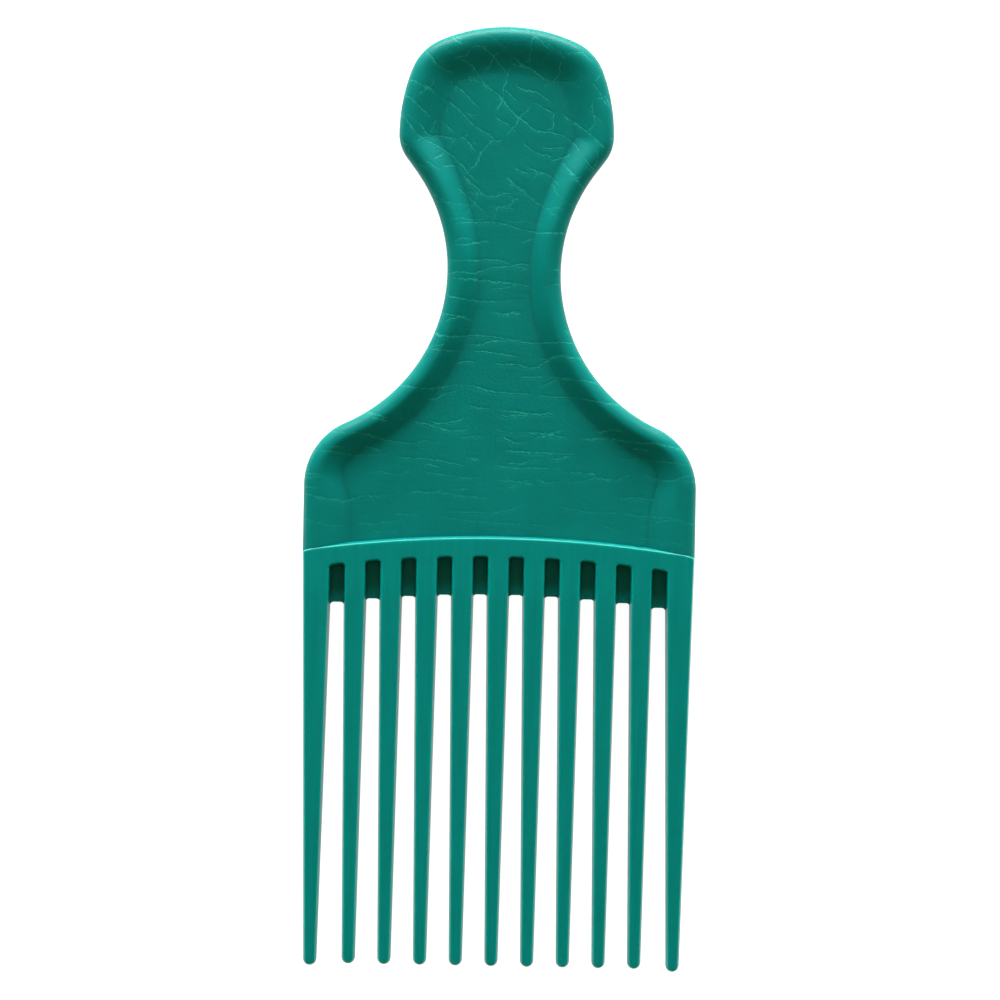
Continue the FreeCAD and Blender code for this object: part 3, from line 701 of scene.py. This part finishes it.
@dataclass
class Handle:
    """The handle: a rounded rim that follows the outline, and the thin grained panel inside it."""

    outline: HandleOutline
    grain: MouldGrain
    material: bpy.types.Material
    rim_width: float = 5.9
    rim_thickness: float = 5.5
    land: float = 1.2
    side_fullness: float = 2.0
    crest_setback: float = 2.2
    round_steps: int = 14
    wall_steps: int = 22
    wall_dip: float = 0.008
    wall_tail: tuple[tuple[float, float], ...] = ((0.2, 0.012), (0.5, 0.06))
    bowl_growth: float = 0.7
    bowl_start: float = 60.0
    bowl_full: float = 88.0
    foot_growth: float = 0.8
    foot_start: float = 18.0
    foot_full: float = 5.0
    panel_thickness: float = 1.9
    panel_tuck: float = 1.5
    panel_foot: float = -1.2
    crease_depth: float = 0.05
    path_step: float = 0.32
    panel_edge_step: float = 1.0
    grid_step: float = 0.3

    def section(self) -> list[Vector]:
        """Draw the rim's closed section; its wall ends just under the panel's face.

        Returns:
            Points with outward distance and height from the parting plane, in millimetres.
        """
        land, crest, panel = self.land / 2, self.rim_thickness / 2, self.panel_thickness / 2
        power = 2 / self.side_fullness
        front = []
        for i in range(self.round_steps + 1):
            turn = math.pi / 2 * i / self.round_steps
            out, up = math.cos(turn) ** power, math.sin(turn) ** power
            front.append(Vector((self.crest_setback * (out - 1), land + (crest - land) * up)))
        run = self.rim_width - self.crest_setback
        drop = crest - panel + self.wall_dip
        for i in range(1, self.wall_steps + 1):
            fall = (1 - math.cos(math.pi * i / self.wall_steps)) / 2
            front.append(Vector((-self.crest_setback - run * i / self.wall_steps, crest - drop * fall)))
        front += [Vector((-self.rim_width - far, panel - under)) for far, under in self.wall_tail]
        return front + [Vector((point.x, -point.y)) for point in reversed(front)]

    def make_rim(self) -> bpy.types.Object:
        """Sweep the section round the outline and raise the grain on it.

        Returns:
            The rim.
        """
        middle = Vector((0, 0, MID_HEIGHT * MM))
        path = [point.to_3d() * MM + middle for point in self.outline.whole(0, self.path_step)]
        shape = ShapeTree("rim_round_the_outline", {
            "Path": line_object("rim_path", path, False),
            "Section": line_object("rim_section", [point * MM for point in self.section()], True),
            "Bowl growth": self.bowl_growth,
            "Foot growth": self.foot_growth,
            "Crease depth": self.crease_depth * MM,
            "Material": self.material,
        })
        tree = shape.tree
        upright = add_node(tree, "GeometryNodeSetCurveNormal", {"Curve": shape.read("Path")}, mode="Z_UP")
        normal = add_node(tree, "GeometryNodeInputNormal").outputs[0]
        path_line, outward = shape.keep(upright.outputs[0], "VECTOR", normal)
        place = add_node(tree, "GeometryNodeInputPosition").outputs[0]
        across = add_node(tree, "ShaderNodeSeparateXYZ", {0: place}).outputs["X"]
        section_line, reach = shape.keep(shape.read("Section"), "FLOAT", across)
        sweep = add_node(
            tree, "GeometryNodeCurveToMesh",
            {"Curve": path_line, "Profile Curve": section_line, "Fill Caps": True},
        )
        past_crest = add_node(
            tree, "ShaderNodeMath", {0: reach, 1: self.crest_setback * MM}, operation="ADD"
        )
        inner = add_node(tree, "ShaderNodeMath", {0: past_crest.outputs[0], 1: 0.0}, operation="MINIMUM")
        along = add_node(tree, "ShaderNodeSeparateXYZ", {0: place}).outputs["Y"]
        grow = add_node(
            tree, "ShaderNodeMapRange",
            {
                "Value": along, "From Min": self.bowl_start * MM, "From Max": self.bowl_full * MM,
                "To Max": shape.inputs["Bowl growth"],
            },
            interpolation_type="SMOOTHSTEP",
        )
        fade = add_node(
            tree, "ShaderNodeMapRange",
            {
                "Value": along, "From Min": self.foot_full * MM, "From Max": self.foot_start * MM,
                "To Min": shape.inputs["Foot growth"], "To Max": 0.0,
            },
            interpolation_type="SMOOTHSTEP",
        )
        wider = add_node(tree, "ShaderNodeMath", {0: grow.outputs[0], 1: fade.outputs[0]}, operation="ADD")
        far = add_node(
            tree, "ShaderNodeMath", {0: inner.outputs[0], 1: wider.outputs[0]}, operation="MULTIPLY"
        )
        move = add_node(
            tree, "ShaderNodeVectorMath", {0: outward, "Scale": far.outputs[0]}, operation="SCALE"
        )
        bowl = add_node(
            tree, "GeometryNodeSetPosition", {"Geometry": sweep.outputs[0], "Offset": move.outputs[0]}
        )
        grained = self.grain.press_into(tree, bowl.outputs[0], shape.inputs["Crease depth"])
        smooth = add_node(tree, "GeometryNodeSetShadeSmooth", {"Geometry": grained, "Shade Smooth": True})
        shape.close(smooth.outputs[0])
        return shape.run("handle_rim_moulded")

    def make_panel(self) -> bpy.types.Object:
        """Lay a fine grid inside the rim, give it its thickness and raise the grain on it.

        Returns:
            The panel.
        """
        edge = self.outline.whole(self.rim_width - self.panel_tuck, self.panel_edge_step)
        edge = [Vector((point.x, max(point.y, self.panel_foot))) for point in edge]
        top = max(point.y for point in edge)
        wide = 2 * max(point.x for point in edge)
        shape = ShapeTree("panel_inside_the_rim", {
            "Edge": line_object("panel_edge", [point.to_3d() * MM for point in edge], True),
            "Width": wide * MM,
            "Length": (top - self.panel_foot) * MM,
            "Columns": math.ceil(wide / self.grid_step),
            "Rows": math.ceil((top - self.panel_foot) / self.grid_step),
            "Thickness": self.panel_thickness * MM,
            "Crease depth": self.crease_depth * MM,
            "Material": self.material,
        })
        tree = shape.tree
        grid = add_node(tree, "GeometryNodeMeshGrid", {
            "Size X": shape.inputs["Width"], "Size Y": shape.inputs["Length"],
            "Vertices X": shape.inputs["Columns"], "Vertices Y": shape.inputs["Rows"],
        })
        middle = Vector((0, (top + self.panel_foot) / 2, MID_HEIGHT - self.panel_thickness / 2)) * MM
        laid = add_node(
            tree, "GeometryNodeTransform", {"Geometry": grid.outputs["Mesh"], "Translation": middle}
        )
        filled = add_node(tree, "GeometryNodeFillCurve", {"Curve": shape.read("Edge")}, mode="NGONS")
        place = add_node(tree, "GeometryNodeInputPosition").outputs[0]
        inside = add_node(tree, "GeometryNodeRaycast", {
            "Target Geometry": filled.outputs[0], "Source Position": place,
            "Ray Direction": (0, 0, -1), "Ray Length": 1.0,
        })
        outside = add_node(tree, "FunctionNodeBooleanMath", {0: inside.outputs["Is Hit"]}, operation="NOT")
        cut = add_node(
            tree, "GeometryNodeDeleteGeometry",
            {"Geometry": laid.outputs[0], "Selection": outside.outputs[0]}, domain="POINT",
        )
        upward = add_node(tree, "ShaderNodeCombineXYZ", {"Z": shape.inputs["Thickness"]})
        thick = add_node(tree, "GeometryNodeExtrudeMesh", {
            "Mesh": cut.outputs[0], "Offset": upward.outputs[0], "Offset Scale": 1.0, "Individual": False,
        })
        under = add_node(tree, "GeometryNodeFlipFaces", {"Mesh": cut.outputs[0]})
        both = add_node(tree, "GeometryNodeJoinGeometry")
        for part in (thick, under):
            tree.links.new(part.outputs[0], both.inputs[0])
        whole = add_node(
            tree, "GeometryNodeMergeByDistance",
            {"Geometry": both.outputs[0], "Distance": MERGE_DISTANCE * MM},
        )
        grained = self.grain.press_into(tree, whole.outputs[0], shape.inputs["Crease depth"])
        smooth = add_node(tree, "GeometryNodeSetShadeSmooth", {"Geometry": grained, "Shade Smooth": True})
        shape.close(smooth.outputs[0])
        return shape.run("handle_panel_moulded")

    def build(self) -> list[bpy.types.Object]:
        """Make the rim and the panel and put them in place of their CAD nodes.

        Returns:
            The two pieces.
        """
        made = []
        for piece, node in ((self.make_rim(), "handle_rim"), (self.make_panel(), "handle_panel")):
            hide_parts(node)
            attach(piece, "root")
            made.append(piece)
        return made


class Moulding:
    """A plate made from its outline: an edge section swept round it, and flat faces between."""

    def __init__(
        self, name: str, outline: list[Vector], edge: list[Vector], material: bpy.types.Material
    ) -> None:
        """Make the tree as far as the closed plate.

        Args:
            name: The tree's name.
            outline: The plate's outline in millimetres, anticlockwise.
            edge: The edge's section from back to front: outward distance, then height.
            material: The plate's material.
        """
        level = Vector((0, 0, MID_HEIGHT))
        path = [(point.to_3d() + level) * MM for point in outline]
        self.shape = ShapeTree(name, {
            "Outline": line_object(name + "_outline", path, True),
            "Edge": line_object(name + "_edge", [point * MM for point in edge], False),
            "Face inset": edge[-1].x * MM,
            "Face height": edge[-1].y * MM,
            "Material": material,
        })
        tree, inputs = self.shape.tree, self.shape.inputs
        upright = add_node(
            tree, "GeometryNodeSetCurveNormal", {"Curve": self.shape.read("Outline")}, mode="Z_UP"
        )
        band = add_node(
            tree, "GeometryNodeCurveToMesh",
            {"Curve": upright.outputs[0], "Profile Curve": self.shape.read("Edge")},
        )
        soft = add_node(
            tree, "GeometryNodeSetShadeSmooth", {"Geometry": band.outputs[0], "Shade Smooth": True}
        )
        normal = add_node(tree, "GeometryNodeInputNormal")
        inward = add_node(
            tree, "ShaderNodeVectorMath", {0: normal.outputs[0], "Scale": inputs["Face inset"]},
            operation="SCALE",
        )
        inner = add_node(
            tree, "GeometryNodeSetPosition", {"Geometry": upright.outputs[0], "Offset": inward.outputs[0]}
        )
        face = add_node(tree, "GeometryNodeFillCurve", {"Curve": inner.outputs[0]}, mode="TRIANGLES")
        flat = add_node(
            tree, "GeometryNodeSetShadeSmooth", {"Geometry": face.outputs[0], "Shade Smooth": False}
        )
        joined = add_node(tree, "GeometryNodeJoinGeometry")
        tree.links.new(soft.outputs[0], joined.inputs[0])
        for way in (1.0, -1.0):
            high = add_node(
                tree, "ShaderNodeMath", {0: inputs["Face height"], 1: way, 2: MID_HEIGHT * MM},
                operation="MULTIPLY_ADD",
            )
            lift = add_node(tree, "ShaderNodeCombineXYZ", {"Z": high.outputs[0]})
            moved = add_node(
                tree, "GeometryNodeTransform", {"Geometry": flat.outputs[0], "Translation": lift.outputs[0]}
            )
            tree.links.new(moved.outputs[0], joined.inputs[0])
        closed = add_node(
            tree, "GeometryNodeMergeByDistance",
            {"Geometry": joined.outputs[0], "Distance": MERGE_DISTANCE * MM},
        )
        self.plate = closed.outputs[0]


def edge_section(half_height: float, land: float, draft: float, rounding: float) -> list[Vector]:
    """Draw the section of a moulded edge from the back face to the front face.

    Args:
        half_height: Height of each face from the parting plane, in millimetres.
        land: Half height of the upright strip at the parting plane.
        draft: How far the side leans in above the land, in degrees.
        rounding: Radius of the edge between side and face.
    Returns:
        Points with outward distance and height.
    """
    lean = math.radians(draft)
    centre_height = half_height - rounding
    side_end = centre_height + rounding * math.sin(lean)
    inset = (side_end - land) * math.tan(lean)
    centre = Vector((-inset - rounding * math.cos(lean), centre_height))
    turns = [lean + (math.pi / 2 - lean) * i / EDGE_STEPS for i in range(EDGE_STEPS + 1)]
    front = [Vector((0, land)), Vector((-inset / 2, (land + side_end) / 2))]
    front += [centre + Vector((math.cos(turn), math.sin(turn))) * rounding for turn in turns]
    front.append(front[-1] - Vector((FACE_LIP, 0)))
    return [Vector((point.x, -point.y)) for point in reversed(front)] + front


@dataclass
class Comb:
    """The curved cross bar with its eleven tapered teeth, and the thin webs between their roots."""

    material: bpy.types.Material
    half_width: float = 35.4
    bar_half: float = 2.0
    arch_radius: float = 228.0
    pitch: float = 6.45
    teeth_each_side: int = 5
    root_width: float = 4.3
    root_level: float = -1.0
    reach: float = 75.75
    tip_radius: float = 1.2
    outer_root: tuple[float, float] = (30.1, 35.4)
    outer_tip: float = 32.75
    outer_reach: float = 76.15
    half_thickness: float = 2.9
    tip_half_thickness: float = 1.3
    slim_start: float = -8.6
    draft: float = 9.0
    land: float = 0.7
    edge_rounding: float = 0.32
    slot_corner: float = 0.35
    slot_clearance: float = 0.1
    bar_corner: float = 0.85
    flank_step: float = 1.2
    corner_step: float = 0.12
    bar_corner_step: float = 0.15
    tip_step: float = 0.3
    arch_steps: int = 120
    web_length: float = 6.6
    web_corner: float = 0.7
    web_corner_end: float = 22.0
    web_side: float = 0.22
    web_tuck: float = 0.35
    web_top: float = 0.8
    web_land: float = 0.3
    web_rounding: float = 0.2

    def arch(self, x: float, crown: float) -> float:
        """Return the height of the bar's arch with the given crown at a place along the bar."""
        return crown - self.arch_radius + math.sqrt(self.arch_radius**2 - x**2)

    def tooth(self, place: int) -> tuple[list[Vector], list[Vector]]:
        """Return a tooth's two flanks, each from its root to the middle of the tip.

        Args:
            place: The tooth's place from the middle tooth, negative to the left.
        Returns:
            The left and the right flank's points in millimetres.
        """
        outer = abs(place) == self.teeth_each_side
        middle = self.pitch * place
        left, right = middle - self.root_width / 2, middle + self.root_width / 2
        reach = self.reach
        if outer:
            low, high = self.outer_root
            left, right = (low, high) if place > 0 else (-high, -low)
            middle, reach = math.copysign(self.outer_tip, place), self.outer_reach
        centre = Vector((middle, self.tip_radius - reach))
        sides: list[list[Vector]] = []
        for way, root in ((-1, left), (1, right)):
            start = Vector((root, self.root_level))
            span = start - centre
            swing = math.acos(self.tip_radius / span.length)
            touch = math.degrees(math.atan2(span.y, span.x) - way * swing)
            end = -90 if way > 0 else 270
            tip = Arc(centre.x, centre.y, self.tip_radius, touch, end).points(self.tip_step)
            count = math.ceil((start - tip[0]).length / self.flank_step)
            sides.append([start.lerp(tip[0], i / count) for i in range(count)] + tip)
        return sides[0], sides[1]

    def outline(self) -> list[Vector]:
        """Draw the outline of bar and teeth together, anticlockwise from the bar's right end.

        Returns:
            The outline's points in millimetres.
        """
        end = self.arch(self.half_width, self.bar_half)
        radius = self.bar_corner
        reach = self.half_width - radius
        right = Arc(reach, end - radius, radius, 0, 90).points(self.bar_corner_step)
        top = [reach - 2 * reach * i / self.arch_steps for i in range(1, self.arch_steps)]
        points = right + [Vector((x, self.arch(x, self.bar_half))) for x in top]
        points += [Vector((-point.x, point.y)) for point in reversed(right)]
        for place in range(-self.teeth_each_side, self.teeth_each_side + 1):
            left, right = self.tooth(place)
            points += self.root(left, -1, place > -self.teeth_each_side)
            points += self.root(right, 1, place < self.teeth_each_side)[-2::-1]
        return points

    def root(self, flank: list[Vector], way: int, slot: bool) -> list[Vector]:
        """Cut a tooth's flank at the bar's lower edge and round the corner of its slot.

        Args:
            flank: The flank's points from root to tip.
            way: -1 for a left flank, 1 for a right one.
            slot: Whether there is a slot beside it.
        Returns:
            The flank's points from the slot's top to the tip.
        """
        lean = (flank[0] - flank[1]).normalized()
        level = self.arch(flank[0].x, -self.bar_half)
        meet = flank[0] + lean * ((level - flank[0].y) / lean.y)
        radius = self.slot_corner
        body = [point for point in flank if point.y < level - radius - self.slot_clearance]
        if not slot:
            return [meet, *body]
        centre = Vector((meet.x + way * radius, level - radius))
        return Arc(centre.x, centre.y, radius, 90, 90 + 90 * way).points(self.corner_step) + body

    def make_bar_and_teeth(self) -> bpy.types.Object:
        """Mould the bar and teeth in one, and slim the teeth towards their tips.

        Returns:
            The piece.
        """
        edge = edge_section(self.half_thickness, self.land, self.draft, self.edge_rounding)
        plate = Moulding("bar_and_teeth", self.outline(), edge, self.material)
        tree = plate.shape.tree
        place = add_node(tree, "GeometryNodeInputPosition").outputs[0]
        parts = add_node(tree, "ShaderNodeSeparateXYZ", {0: place}).outputs
        slim = add_node(tree, "ShaderNodeMapRange", {
            "Value": parts["Y"], "From Min": -self.outer_reach * MM, "From Max": self.slim_start * MM,
            "To Min": self.tip_half_thickness / self.half_thickness, "To Max": 1.0,
        })
        above = add_node(tree, "ShaderNodeMath", {0: parts["Z"], 1: MID_HEIGHT * MM}, operation="SUBTRACT")
        thin = add_node(
            tree, "ShaderNodeMath", {0: above.outputs[0], 1: slim.outputs[0], 2: MID_HEIGHT * MM},
            operation="MULTIPLY_ADD",
        )
        there = add_node(
            tree, "ShaderNodeCombineXYZ", {"X": parts["X"], "Y": parts["Y"], "Z": thin.outputs[0]}
        )
        slimmed = add_node(
            tree, "GeometryNodeSetPosition", {"Geometry": plate.plate, "Position": there.outputs[0]}
        )
        plate.shape.close(slimmed.outputs[0])
        return plate.shape.run("bar_and_teeth_moulded")

    def web_outline(self) -> list[Vector]:
        """Draw one web about its slot's top, with fillets where it meets the teeth.

        Returns:
            The outline's points in millimetres.
        """
        half_gap = (self.pitch - self.root_width) / 2 + self.web_side
        side = half_gap + self.web_tuck
        radius = self.web_corner
        corner = Arc(half_gap - radius, -self.web_length - radius, radius, 90, self.web_corner_end)
        fillet = corner.points(self.corner_step)
        right = fillet + [Vector((side, fillet[-1].y)), Vector((side, self.web_top))]
        left = [Vector((-point.x, point.y)) for point in right]
        return left[::-1] + right

    def make_webs(self) -> bpy.types.Object:
        """Mould one web and set a copy of it in each slot along the bar's arch.

        Returns:
            The webs.
        """
        edge = edge_section(self.land, self.web_land, 0.0, self.web_rounding)
        plate = Moulding("root_web", self.web_outline(), edge, self.material)
        tree = plate.shape.tree
        count = 2 * self.teeth_each_side
        row = add_node(tree, "GeometryNodeMeshLine", {
            "Count": count, "Start Location": (-self.pitch * (count - 1) / 2 * MM, 0, 0),
            "Offset": (self.pitch * MM, 0, 0),
        })
        place = add_node(tree, "GeometryNodeInputPosition").outputs[0]
        parts = add_node(tree, "ShaderNodeSeparateXYZ", {0: place}).outputs
        square = add_node(tree, "ShaderNodeMath", {0: parts["X"], 1: parts["X"]}, operation="MULTIPLY")
        fall = add_node(tree, "ShaderNodeMath", {
            0: square.outputs[0], 1: -0.5 / (self.arch_radius * MM), 2: -self.bar_half * MM,
        }, operation="MULTIPLY_ADD")
        arched = add_node(tree, "ShaderNodeCombineXYZ", {"X": parts["X"], "Y": fall.outputs[0]})
        curved = add_node(
            tree, "GeometryNodeSetPosition", {"Geometry": row.outputs[0], "Position": arched.outputs[0]}
        )
        copies = add_node(
            tree, "GeometryNodeInstanceOnPoints", {"Points": curved.outputs[0], "Instance": plate.plate}
        )
        plate.shape.close(copies.outputs[0])
        return plate.shape.run("root_webs_moulded")

    def build(self) -> list[bpy.types.Object]:
        """Make the bar with its teeth and the webs, and put them in place of their CAD nodes.

        Returns:
            The two pieces.
        """
        teeth = [f"tooth_{place:02d}" for place in range(1, 2 * self.teeth_each_side + 2)]
        webs = [f"root_web_{place:02d}" for place in range(1, 2 * self.teeth_each_side + 1)]
        made = []
        for piece, nodes in ((self.make_bar_and_teeth(), ["tooth_bar", *teeth]), (self.make_webs(), webs)):
            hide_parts(*nodes)
            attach(piece, "root")
            made.append(piece)
        return made


@dataclass(frozen=True)
class Softbox:
    """One rectangular soft light: where it hangs, its size in metres and its power in watts."""

    name: str
    place: tuple[float, float, float]
    size: tuple[float, float]
    power: float
    in_gloss: bool

    def hang(self) -> None:
        """Hang the light so that it faces the pick."""
        lamp = bpy.data.lights.new(self.name, "AREA")
        lamp.shape = "RECTANGLE"
        lamp.size, lamp.size_y = self.size
        lamp.energy = self.power
        light = bpy.data.objects.new(self.name, lamp)
        light.location = self.place
        light.rotation_euler = (-Vector(self.place)).to_track_quat("-Z", "Y").to_euler()
        light.visible_glossy = self.in_gloss
        bpy.context.scene.collection.objects.link(light)


@dataclass
class Studio:
    """A white table top under soft light from beyond the head, seen from straight above."""

    floor_size: float = 6.0
    floor_colour: str = "#a0a0a0"
    floor_glow: float = 0.95
    view_width: float = 180.8
    view_centre: tuple[float, float] = (0.05, 8.5)
    camera_height: float = 480.0
    camera_turn: float = 1.1
    sensor: float = 36.0
    lights: tuple[Softbox, ...] = (
        Softbox("window", (-0.05, 1.1, 0.29), (1.2, 0.42), 56.0, True),
        Softbox("left_wall", (-1.1, 0.2, 0.3), (1.0, 0.42), 8.0, False),
        Softbox("right_wall", (1.1, 0.2, 0.3), (1.0, 0.42), 8.0, False),
    )
    room_colour: str = "#fff4c8"
    room_light: float = 0.46
    backdrop: float = 0.9

    def make_floor(self) -> None:
        """Lay the white floor under the pick; a faint glow of its own keeps its shadows pale."""
        half = self.floor_size / 2
        mesh = bpy.data.meshes.new("floor")
        corners = [(-half, -half, 0), (half, -half, 0), (half, half, 0), (-half, half, 0)]
        mesh.from_pydata(corners, [], [(0, 1, 2, 3)])
        floor = bpy.data.objects.new("floor", mesh)
        bpy.context.scene.collection.objects.link(floor)
        material = bpy.data.materials.new("matt_white_board")
        material.use_nodes = True
        shader = material.node_tree.nodes["Principled BSDF"]
        shader.inputs["Base Color"].default_value = linear(self.floor_colour)
        shader.inputs["Roughness"].default_value = 1.0
        shader.inputs["Specular IOR Level"].default_value = 0.0
        shader.inputs["Emission Color"].default_value = linear("#ffffff")
        shader.inputs["Emission Strength"].default_value = self.floor_glow
        mesh.materials.append(material)

    def make_lights(self) -> None:
        """Hang the lights, and keep the room dim and out of the gloss, but its backdrop pale."""
        for light in self.lights:
            light.hang()
        world = bpy.data.worlds.new("studio")
        world.use_nodes = True
        tree = world.node_tree
        sky = tree.nodes["Background"]
        sky.inputs["Color"].default_value = linear(self.room_colour)
        seen = add_node(tree, "ShaderNodeLightPath").outputs["Is Camera Ray"]
        shown = add_node(
            tree, "ShaderNodeMapRange", {"Value": seen, "To Min": self.room_light, "To Max": self.backdrop}
        )
        tree.links.new(shown.outputs[0], sky.inputs["Strength"])
        world.cycles_visibility.glossy = False
        bpy.context.scene.world = world

    def make_camera(self) -> None:
        """Set the camera straight above, at the photograph's distance, framing and small turn."""
        lens = bpy.data.cameras.new("camera")
        lens.sensor_width = self.sensor
        lens.lens = self.sensor * self.camera_height / self.view_width
        lens.clip_start, lens.clip_end = 0.01, 20.0
        camera = bpy.data.objects.new("camera", lens)
        camera.location = Vector((*self.view_centre, MID_HEIGHT + self.camera_height)) * MM
        camera.rotation_euler = (0, 0, math.radians(self.camera_turn))
        bpy.context.scene.collection.objects.link(camera)
        bpy.context.scene.camera = camera

    def build(self) -> None:
        """Make the camera, the floor and the lights, and keep colours as they are."""
        self.make_camera()
        self.make_floor()
        self.make_lights()
        bpy.context.scene.view_settings.view_transform = "Standard"


def main() -> None:
    """Build the pick piece by piece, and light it."""
    logging.basicConfig(level=logging.INFO, format="%(message)s")
    Studio().build()
    grain = MouldGrain()
    handle = Handle(HandleOutline(), grain, GrainedPolypropylene().build(grain))
    comb = Comb(SmoothPolypropylene().build())
    for part in (handle, comb):
        for piece in part.build():
            faces = sum(len(face.vertices) - 2 for face in piece.data.polygons)
            LOG.info("%s: %s with %d triangles", type(part).__name__, piece.name, faces)


if __name__ == "__main__":
    main()
